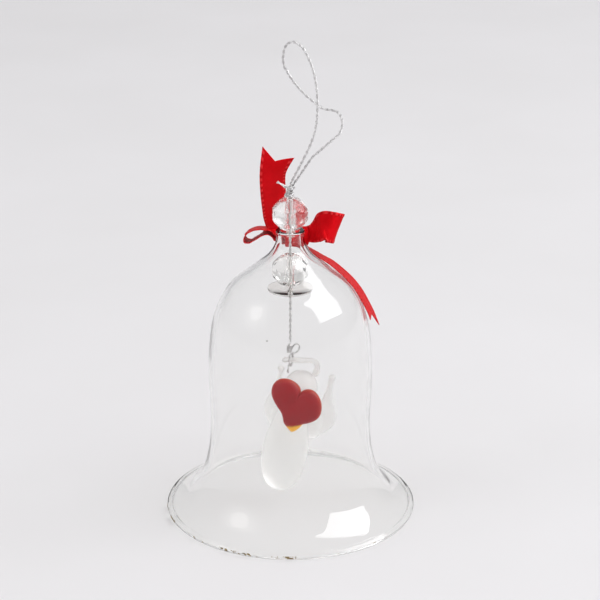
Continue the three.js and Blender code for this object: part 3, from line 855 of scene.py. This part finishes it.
def hook_threads(thread):
    fine = LOWER_KNOT_THREAD_R
    knot = [
        (wrap(-0.25, 0.05, 0.6, 47.5, 48.7, 1.9, 0.3), fine),
        (wrap(-0.35, 0.05, 0.5, 46.9, 47.7, 1.5, 2.0), fine),
        ([mm(0, 0, 49.5), mm(-0.25, -0.4, 48.6), mm(-0.15, -0.3, 47.4), mm(-0.1, 0, 46.8)], fine),
        ([mm(-0.1, 0.2, 49.2), mm(-0.6, 0, 48.3), mm(-0.2, -0.5, 47.3), mm(0.2, -0.1, 46.9)], fine),
    ]
    thread_piece("lower_knot_windings", thread, "thread_hook", "lower_knot", knot, 1.9 * MM)
    side = [
        mm(0.5, 0, 47.9), mm(1.1, 0.05, 49.0), mm(1.9, 0.15, 49.25), mm(2.5, 0.2, 48.6), mm(2.45, 0.2, 47.7),
        mm(1.9, 0.1, 46.95), mm(1.2, 0, 46.55), mm(0.6, 0, 46.75),
    ]
    parts = [(side, SIDE_LOOP_THREAD_R)]
    thread_piece("lower_knot_side_loop", thread, "thread_hook", "knot_side_loop", parts, 2.6 * MM)
    centre, turn = mm(0.2, -0.05, HANG_Z), Matrix.Rotation(ANGEL_TURN, 4, "Z")
    ring = []
    for k in range(EYE_POINTS + 1):
        s = k / EYE_POINTS
        a = TURN * (0.27 + 0.96 * s)
        ring.append(centre + turn @ mm(0.12 * (2 * s - 1), math.cos(a) * EYE_R, math.sin(a) * EYE_R))
    parts = [(ring, TOP_KNOT_THREAD_R)]
    thread_piece("thread_round_hanger", thread, "thread_hook", "thread_eye", parts, TIGHT_PITCH)
    end = [mm(-0.4, -1.9, 43.9), mm(-0.5, -2.25, 43.4), mm(-0.6, -2.4, 42.6), mm(-0.65, -2.4, 41.7)]
    parts = [(end, CUT_END_THREAD_R)]
    thread_piece(
        "thread_cut_end", thread, "thread_hook", "thread_end", parts, 3 * MM, lambda s: 1 + 0.6 * s * s
    )


# ---------------------------------------------------------------- angel

ANGEL_LEAN = math.radians(10)
HOOK_REACH = 4.3
ANGEL_FRAME = (
    Matrix.Translation(mm(0, 0, HANG_Z))
    @ Matrix.Rotation(ANGEL_LEAN, 4, "Y")
    @ Matrix.Translation(mm(HOOK_REACH, 0, 0))
    @ Matrix.Rotation(ANGEL_TURN, 4, "Z")
)
HEAD_R = 4.7
HEAD_Z = -7.4
NECK_AT = (-0.6, 0.3, -12.6)
NECK_SIZE = (2.6, 2.4, 2.0)
HEART_PEG_AT = (0.2, -3.9, -15.3)
HEART_PEG_SIZE = (1.5, 1.6, 1.7)
ROBE_LINE = [
    (0, -12.5), (2.1, -12.9), (3.9, -15.4), (5.2, -19.5), (6.3, -25.0), (6.4, -29.5), (5.7, -34.2),
    (4.2, -37.4), (2.2, -39.1), (0, -39.6),
]
ROBE_X = -1.0
ROBE_DEPTH = 0.84
HANGER_R = 0.75
HANGER_ROUTE = [
    (-5.9, -1.15, -1.0), (-5.75, -1.12, -0.35), (-5.1, -1.08, 0.0), (-3.9, -1.04, 0.1), (0, -1.0, 0.95),
    (2.2, -0.9, 1.35), (3.3, -0.8, 0.75), (3.6, -0.5, -1.2), (3.1, -0.3, -2.8),
]
WING_OUTER = [(8.0, -2.4), (8.2, -3.3), (8.1, -5.4), (8.6, -9.6), (10.5, -14.6), (10.1, -17.9), (6.4, -21.5)]
WING_INNER = [(6.9, -2.4), (6.5, -3.3), (6.6, -5.4), (6.0, -9.0), (4.9, -13.4), (4.8, -18.0), (4.8, -21.7)]
WING_THICK = 1.7
WING_BACK_Y = 3.4
WING_SWEEP = 0.026
# Each wing's side, -1 for the left, and how far it drops.
WING_DROPS = ((-1, 2.6), (1, 1.3))


def flat_line(points, steps):
    return [(p.x, p.y) for p in along([Vector((x, y, 0)) for x, y in points], steps)]


def robe(bm):
    profile = [(max(r, 0), z) for r, z in flat_line(ROBE_LINE, 48)]
    profile[0], profile[-1] = (0, profile[0][1]), (0, profile[-1][1])
    part = bmesh.new()
    spun(part, profile, 64)
    stand = Matrix.Translation((ROBE_X, 0, 0)) @ Matrix.Scale(ROBE_DEPTH, 4, (0, 1, 0))
    bmesh.ops.transform(part, matrix=stand, verts=part.verts)
    join(bm, part)


def join(bm, part):
    """Adds one shape to another, to be fused with it later."""
    bmesh.ops.recalc_face_normals(part, faces=part.faces)
    mesh = bpy.data.meshes.new("part")
    part.to_mesh(mesh)
    part.free()
    bm.from_mesh(mesh)
    bpy.data.meshes.remove(mesh)


def ball(bm, centre, size):
    part = bmesh.new()
    bmesh.ops.create_uvsphere(part, u_segments=40, v_segments=24, radius=1.0)
    stand = Matrix.Translation(centre) @ Matrix.Diagonal((*size, 1.0))
    bmesh.ops.transform(part, matrix=stand, verts=part.verts)
    join(bm, part)


def sweep(x):
    """How far back the wings' mid-surface lies at x."""
    return WING_BACK_Y + WING_SWEEP * x * x


def wing(bm, side, drop):
    rows = 44
    outer, inner = flat_line(WING_OUTER, rows), flat_line(WING_INNER, rows)
    places = []
    for (ox, oz), (nx, nz) in zip(outer, inner):
        mid, half = (ox + nx) / 2, max((ox - nx) / 2, 0.15)
        across = Vector((side * half, sweep(mid + half) - sweep(mid), (oz - nz) / 2))
        through_glass = min(WING_THICK / 2, half * 0.95)
        turn = Matrix((across, Vector((0, through_glass, 0)), Vector((0, 0, -1)))).transposed().to_4x4()
        places.append(Matrix.Translation((side * mid, sweep(mid), (oz + nz) / 2 - drop)) @ turn)
    part = bmesh.new()
    tube(part, places, [1.0] * len(places), 20)
    join(bm, part)


def angel(glass, heart_material):
    """Lampwork figure, its parts fused into one body of glass with soft fillets."""
    bm = bmesh.new()
    robe(bm)
    ball(bm, (0, 0, HEAD_Z), (HEAD_R,) * 3)
    ball(bm, NECK_AT, NECK_SIZE)
    for side, drop in WING_DROPS:
        wing(bm, side, drop)
        # The wing's root in two lobes, then its rounded tip.
        ball(bm, (side * 4.6 - 0.4, 3.5, -17.0 - drop), (3.0, 1.2, 3.6))
        ball(bm, (side * 5.0, 3.6, -20.6 - drop), (2.0, 1.0, 1.6))
        tip_x = 7.4
        ball(bm, (side * tip_x, sweep(tip_x), -3.1 - drop), (1.05, 0.95, 0.95))
    ball(bm, HEART_PEG_AT, HEART_PEG_SIZE)
    part = bmesh.new()
    rod = evenly([Vector(p) for p in HANGER_ROUTE], 0.35)
    radii = [HANGER_R + 0.2 * smoothstep(k / len(rod), 0.7, 1.0) for k in range(len(rod))]
    tube(part, frames(rod), radii, 16)
    join(bm, part)
    bmesh.ops.transform(bm, matrix=ANGEL_FRAME @ Matrix.Scale(MM, 4), verts=bm.verts)
    piece(
        fused(bm, 0.22 * MM, 6), "angel_figure", glass, "angel", "frosted_glass",
        "angel_hanger", "angel_head", "angel_robe", "angel_wing_left", "angel_wing_right",
    )
    heart(heart_material)


def fused(bm, grain, rounds):
    """Melts overlapping shapes into one skin."""
    mesh = bpy.data.meshes.new("loose")
    bm.to_mesh(mesh)
    bm.free()
    obj = bpy.data.objects.new("loose", mesh)
    bpy.context.scene.collection.objects.link(obj)
    melt = obj.modifiers.new("melt", "REMESH")
    melt.mode = "VOXEL"
    melt.voxel_size = grain
    flow = obj.modifiers.new("flow", "SMOOTH")
    flow.factor = 0.5
    flow.iterations = rounds
    bpy.context.view_layer.update()
    done = bpy.data.meshes.new_from_object(obj.evaluated_get(bpy.context.evaluated_depsgraph_get()))
    out = bmesh.new()
    out.from_mesh(done)
    bpy.data.objects.remove(obj)
    bpy.data.meshes.remove(mesh)
    bpy.data.meshes.remove(done)
    return out


# ---------------------------------------------------------------- heart

HEART_AT = (0.65, -7.4, -10.2)
HEART_THICK = 4.4
HEART_START = (0.8, 4.2)
HEART_CURVES = [
    ((0.8, 5.8), (-1.2, 7.2), (-3.4, 7.2)),
    ((-5.9, 7.2), (-7.5, 5.2), (-7.3, 2.8)),
    ((-7.1, 0.6), (-5.2, -1.0), (-3.7, -2.6)),
    ((-2.5, -3.8), (-2.7, -5.4), (-1.7, -6.2)),
    ((-0.9, -6.9), (-0.2, -7.6), (0.5, -7.8)),
    ((1.4, -7.4), (2.4, -6.3), (3.1, -4.7)),
    ((4.5, -4.1), (6.6, -3.1), (7.3, -1.1)),
    ((8.0, 1.6), (6.4, 5.4), (3.8, 5.8)),
    ((2.4, 5.9), (1.3, 5.3), (0.8, 4.2)),
]
HEART_STEPS = 12
PILLOW_POWER = 0.55
PAINTED_GLOW_BAND = 0.62
AMBER_FROM = -5.7
AMBER_SLOPE = 0.36
AMBER_BLEND = 0.25


def heart_outline():
    """Closed outline of the heart, (x, z) in millimetres."""
    out, at = [], Vector(HEART_START)
    for b, c, d in HEART_CURVES:
        p, q, r, last = at, Vector(b), Vector(c), Vector(d)
        for k in range(HEART_STEPS):
            t = k / HEART_STEPS
            m = 1 - t
            out.append(p * m**3 + q * 3 * m * m * t + r * 3 * m * t * t + last * t**3)
        at = last
    return out


def heart(material):
    """One outline grown forward and back in steps that draw in as a pillow does."""
    bm = bmesh.new()
    rim = bm.verts.layers.float.new("rim")
    tip = bm.verts.layers.float.new("tip")
    middle = [bm.verts.new((p.x, 0, p.y)) for p in heart_outline()]
    row = [bm.edges.new(pair) for pair in zip(middle, middle[1:] + middle[:1])]
    for side in (-1, 1):
        edges, last = row, 1.0
        for k in range(1, HEART_STEPS + 1):
            t = math.pi / 2 * 0.97 * k / HEART_STEPS
            reach, depth = math.cos(t) ** PILLOW_POWER, HEART_THICK / 2 * math.sin(t)
            grown = bmesh.ops.extrude_edge_only(bm, edges=edges)["geom"]
            ring = [g for g in grown if isinstance(g, bmesh.types.BMVert)]
            fresh = set(ring)
            edges = [g for g in grown if isinstance(g, bmesh.types.BMEdge) and set(g.verts) <= fresh]
            for v in ring:
                v.co = (v.co.x * reach / last, side * depth, v.co.z * reach / last)
            last = reach
        bmesh.ops.contextual_create(bm, geom=edges)
    caps = [f for f in bm.faces if len(f.verts) > 4]
    bmesh.ops.poke(bm, faces=caps)
    for v in bm.verts:
        # rim: how strongly the painted edge glow shows, 1 at the heart's outline and fading towards its
        # faces.
        v[rim] = 1.0 - smoothstep(abs(v.co.y) / (HEART_THICK / 2), 0.0, PAINTED_GLOW_BAND)
        above = v.co.z - AMBER_SLOPE * v.co.x
        v[tip] = 1.0 - smoothstep(above, AMBER_FROM - AMBER_BLEND, AMBER_FROM + AMBER_BLEND)
    stand = ANGEL_FRAME @ Matrix.Scale(MM, 4) @ Matrix.Translation(HEART_AT)
    bmesh.ops.transform(bm, matrix=stand, verts=bm.verts)
    piece(bm, "red_glass_heart", material, "angel", "red_glass", "heart")


# ---------------------------------------------------------------- satin bow

RIBBON_W = 8.0
RIBBON_T = 0.3
RIBBON_SHOWN_T = 0.7 * RIBBON_T
ACROSS = 24
CUT_LENGTH = 6
STITCH_PITCH = 1.1
STITCH_RISE = 0.07
BOW_Y = 7.4
BOW_Z = 78.4


def ribbon(name, material, node, route, widths, steps, ends=(0, 0, 0), curl=0.0):
    """Satin strip along a route of (centre, width direction), with raised edges.

    ends says how far past the route's last point the cut reaches at the near edge, in the middle
    and at the edge that the width direction points to, and curl how far that edge's corner
    flares, all in millimetres.
    """
    centre = through([Vector(c) for c, _ in route])
    across = through([Vector(w) for _, w in route])
    share = through([Vector((i, w, 0)) for i, w in enumerate(widths)])
    length = line_length([centre(i / 200) for i in range(201)])
    cut_from = 1 - CUT_LENGTH / length
    bm = bmesh.new()
    grid = bmesh.ops.create_grid(bm, x_segments=steps, y_segments=ACROSS, size=0.5)["verts"]
    lay = bm.loops.layers.uv.new("lay")
    for face in bm.faces:
        for loop in face.loops:
            loop[lay].uv = (loop.vert.co.y + 0.5, (loop.vert.co.x + 0.5) * length)
    for v in grid:
        s, u = min(max(v.co.x + 0.5, 0), 1), v.co.y * 2
        here = centre(s)
        ahead = (centre(min(s + 1e-3, 1)) - centre(max(s - 1e-3, 0))).normalized()
        w = across(s)
        w = (w - ahead * w.dot(ahead)).normalized()
        up = ahead.cross(w)
        half = RIBBON_W / 2 * share(s).y
        run = min(max((s - cut_from) / (1 - cut_from), 0), 1)
        past = ends[1] + (ends[2] - ends[1]) * u if u > 0 else ends[1] + (ends[0] - ends[1]) * -u
        edge = smoothstep(abs(u), 0.78, 0.86) * (1 - smoothstep(abs(u), 0.96, 1.0))
        roll = STITCH_RISE * edge * (1 + 0.5 * math.sin(TURN * s * length / STITCH_PITCH))
        out = w * (curl * run**3 * max(u, 0) ** 3)
        v.co = here + w * (u * half) + up * roll + ahead * (past * run) + out
    bmesh.ops.transform(bm, matrix=Matrix.Scale(MM, 4), verts=bm.verts)
    strip = piece(bm, name, material, "bell", "red_satin", node)
    thick = strip.modifiers.new("cloth thickness", "SOLIDIFY")
    thick.thickness = RIBBON_SHOWN_T * MM
    thick.offset = 0.0


def bow(material):
    w = (0.05, 0.965, -0.215)
    loop_left = [
        ((-1.6, 7.2, 79.0), (0, 0.5, 0.86)), ((-3.15, 7.2, 79.7), (0, 0.7, 0.6)),
        ((-4.5, 7.0, 80.5), (0, 0.85, 0.2)), ((-6.6, 6.6, 81.0), w), ((-9.6, 6.4, 81.0), w),
        ((-11.9, 6.4, 79.7), w), ((-12.4, 6.4, 78.1), w), ((-11.2, 6.4, 77.3), w), ((-9.4, 6.4, 78.2), w),
        ((-7.2, 6.6, 79.4), w), ((-5.0, 7.2, 79.2), (0, 0.85, 0.2)),
        ((-3.15, 7.6, 78.2), (0, 0.6, 0.8)), ((-1.6, 7.8, 78.0), (0, 0.5, 0.86)),
    ]
    shares = [0.35, 0.42, 0.65, 0.9, 1.0, 1.0, 1.0, 1.0, 1.0, 0.9, 0.65, 0.42, 0.35]
    ribbon("bow_left_loop", material, "bow_loop_left", loop_left, shares, 170)
    w, pinched = (0.37, 0.28, 0.88), (0.15, 0.12, 0.97)
    loop_right = [
        ((4.4, 7.0, 79.2), pinched), ((6.0, 6.3, 79.5), pinched), ((7.4, 5.5, 80.6), (0.3, 0.25, 0.92)),
        ((9.2, 5.0, 82.0), w), ((11.2, 4.9, 81.9), w), ((12.9, 5.6, 81.3), w), ((13.3, 6.6, 81.0), w),
        ((12.0, 7.8, 80.8), w), ((9.6, 8.6, 80.2), w), ((7.2, 8.6, 79.4), pinched),
        ((4.4, 7.9, 79.0), pinched),
    ]
    shares = [0.5, 0.62, 0.85, 1.06, 1.08, 1.08, 1.06, 1.0, 0.85, 0.6, 0.5]
    ribbon("bow_right_loop", material, "bow_loop_right", loop_right, shares, 170)
    tail_left = [
        ((-2.6, 8.1, 80.6), (0.86, 0.48, 0.0)), ((-3.4, 7.9, 82.6), (0.85, 0.5, 0.0)),
        ((-3.9, 7.5, 84.6), (0.84, 0.54, 0.0)), ((-4.3, 6.9, 88.0), (0.84, 0.54, 0.0)),
        ((-4.7, 6.5, 92.5), (0.85, 0.53, 0.0)), ((-4.7, 6.7, 97.4), (0.88, 0.46, 0.0)),
        ((-3.5, 8.0, 103.3), (0.97, 0.2, -0.02)),
    ]
    shares = [0.75, 0.92, 0.98, 1.0, 1.0, 1.0, 1.04]
    ribbon("bow_standing_tail", material, "ribbon_tail_left", tail_left, shares, 140, (0.1, -3.2, -1.4), 1.0)
    w = (0.22, 0.93, -0.28)
    tail_right = [
        ((2.6, 7.4, 76.6), (-0.5, 0.85, 0.1)), ((4.7, 7.4, 75.1), (-0.2, 0.95, -0.1)), ((7.6, 6.8, 73.2), w),
        ((11.2, 6.3, 71.1), w), ((14.0, 5.9, 68.9), w), ((16.8, 5.3, 66.3), w), ((19.1, 4.6, 63.4), w),
        ((20.9, 3.9, 60.3), w), ((22.5, 3.0, 57.2), w), ((23.5, 2.0, 54.7), (0.24, 0.9, -0.3)),
    ]
    shares = [0.4, 0.6, 0.85, 1, 1, 1, 1, 1, 1, 1]
    ribbon("bow_falling_tail", material, "ribbon_tail_right", tail_right, shares, 170, (-1.3, -2.8, 1.0))
    bow_knot(material)


def bow_knot(material):
    """The pulled-tight crossing: a gathered band with soft pleats."""
    stations = [
        (-2.3, 1.9, 1.2), (-1.7, 2.7, 1.9), (0.2, 2.5, 2.1),
        (2.4, 2.7, 2.1), (4.6, 2.8, 1.9), (5.2, 2.0, 1.2),
    ]
    line = along([Vector(s) for s in stations], 60)
    bm = bmesh.new()
    places = []
    for x, h, d in line:
        turn = Matrix(((0, d, 0), (0, 0, h), (1, 0, 0))).transposed().to_4x4()
        places.append(Matrix.Translation((x, BOW_Y, BOW_Z)) @ turn)
    tube(bm, places, [1.0] * len(places), 72)
    for v in bm.verts:
        a = math.atan2(v.co.z - BOW_Z, v.co.y - BOW_Y)
        pleat = 0.12 * math.sin(9 * a + 0.9 * v.co.x) + 0.1 * noise.noise(v.co * 0.7)
        out = Vector((0, math.cos(a), math.sin(a)))
        v.co -= out * abs(pleat) * 1.6
    map_lay(bm)
    bmesh.ops.transform(bm, matrix=Matrix.Scale(MM, 4), verts=bm.verts)
    piece(bm, "bow_knot", material, "bell", "red_satin", "ribbon_knot")


# ---------------------------------------------------------------- putting it together

FLOOR_HALF = 4.0
FLOOR_DROP = 0.0001
GLASS_BOUNCES = 24
SHINE_BOUNCES = 6
CLEAR_BOUNCES = 32


def floor(material):
    bm = bmesh.new()
    bmesh.ops.create_grid(bm, x_segments=1, y_segments=1, size=FLOOR_HALF)
    bmesh.ops.translate(bm, verts=bm.verts, vec=(0, 0, -FLOOR_DROP))
    mesh = bpy.data.meshes.new("floor")
    bm.to_mesh(mesh)
    bm.free()
    mesh.materials.append(material)
    obj = bpy.data.objects.new("floor", mesh)
    bpy.context.scene.collection.objects.link(obj)


def repaint(node, material):
    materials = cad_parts[node].data.materials
    materials.clear()
    materials.append(material)


def build():
    scene = bpy.context.scene
    scene.view_settings.view_transform = "Standard"
    scene.cycles.max_bounces = GLASS_BOUNCES
    scene.cycles.transmission_bounces = GLASS_BOUNCES
    scene.cycles.glossy_bounces = SHINE_BOUNCES
    scene.cycles.transparent_max_bounces = CLEAR_BOUNCES
    scene.cycles.caustics_reflective = False
    set_camera()
    thread = metallic_thread()
    hanging_loop(thread)
    light_studio()
    floor(pale_floor())
    bell(blown_glass())
    rim_gilding(worn_gilding())
    worn_glass = cut_glass("worn_bead_glass", 0.12, 0.34)
    cut_bead("top_cut_bead", TOP_BEAD_Z, worn_glass, "upper_bead", "top_bead", 0.42, 0.15)
    bright_glass = cut_glass("cut_bead_glass", 0.01, 0.09)
    cut_bead("inner_cut_bead", INNER_BEAD_Z, bright_glass, "lower_bead", "inner_bead", 0.09, 0.4)
    disc(disc_glass())
    upright_threads(thread)
    top_knot(thread)
    knot_tail(thread)
    stop_knot(thread)
    hook_threads(thread)
    angel(frosted_glass(), heart_glass())
    bow(satin())
    repaint("glue_dab", hot_glue())


build()
